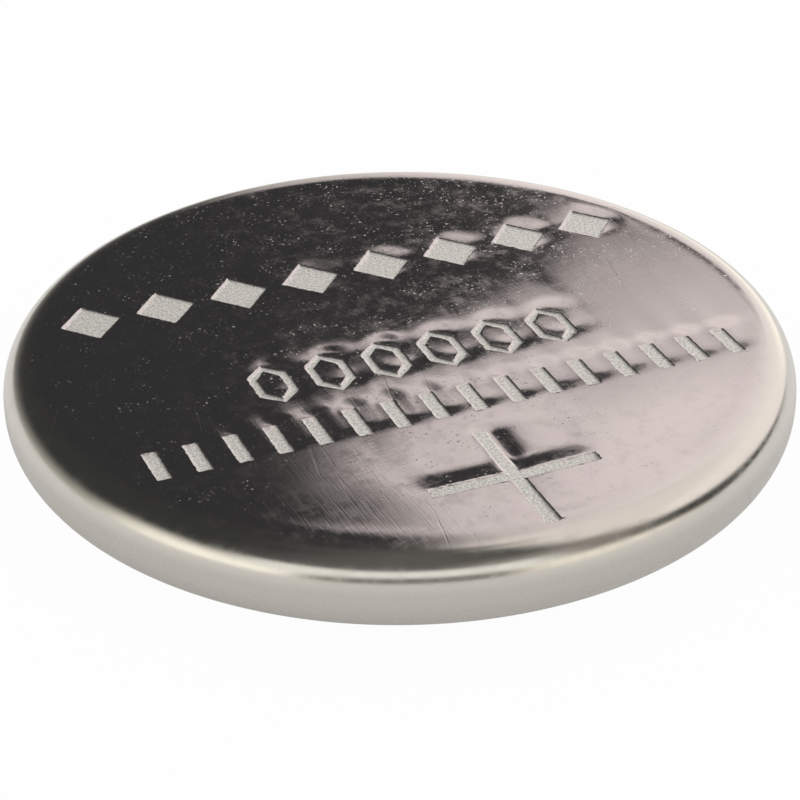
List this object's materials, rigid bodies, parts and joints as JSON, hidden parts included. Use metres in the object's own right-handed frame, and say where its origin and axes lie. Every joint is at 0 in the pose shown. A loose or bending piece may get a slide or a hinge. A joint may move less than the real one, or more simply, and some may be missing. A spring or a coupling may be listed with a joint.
{
  "type": "lithium coin cell",
  "caption": "Flat round lithium coin cell with a crimped steel can as positive side, a stepped cap as negative side and a sealing gasket between them.",
  "frame": {"origin": "centre of the negative contact face, which is the lowest face", "axes": "+Z along the cell's axis, from the negative contact face to the positive face; +X along the rows of stamped marks, +Y from the polarity cross towards the middle of the face"},
  "size_m": [0.016, 0.016, 0.002],
  "materials": {
    "plated_can": "bright nickel plating with fine scratches and matte stamped marks",
    "gasket_plastic": "natural polypropylene, satin",
    "plated_cap": "satin nickel plating with a fine turned grain",
    "lithium": "soft dull metal",
    "felt": "white polypropylene felt",
    "cathode_black": "pressed black powder",
    "ring_steel": "plain stainless sheet"
  },
  "bodies": {
    "root": {"positive_can": "plated_can", "sealing_gasket": "gasket_plastic", "negative_cap": "plated_cap", "lithium_anode": "lithium", "separator": "felt", "cathode_pellet": "cathode_black", "cathode_ring": "ring_steel"}
  },
  "joints": []
}
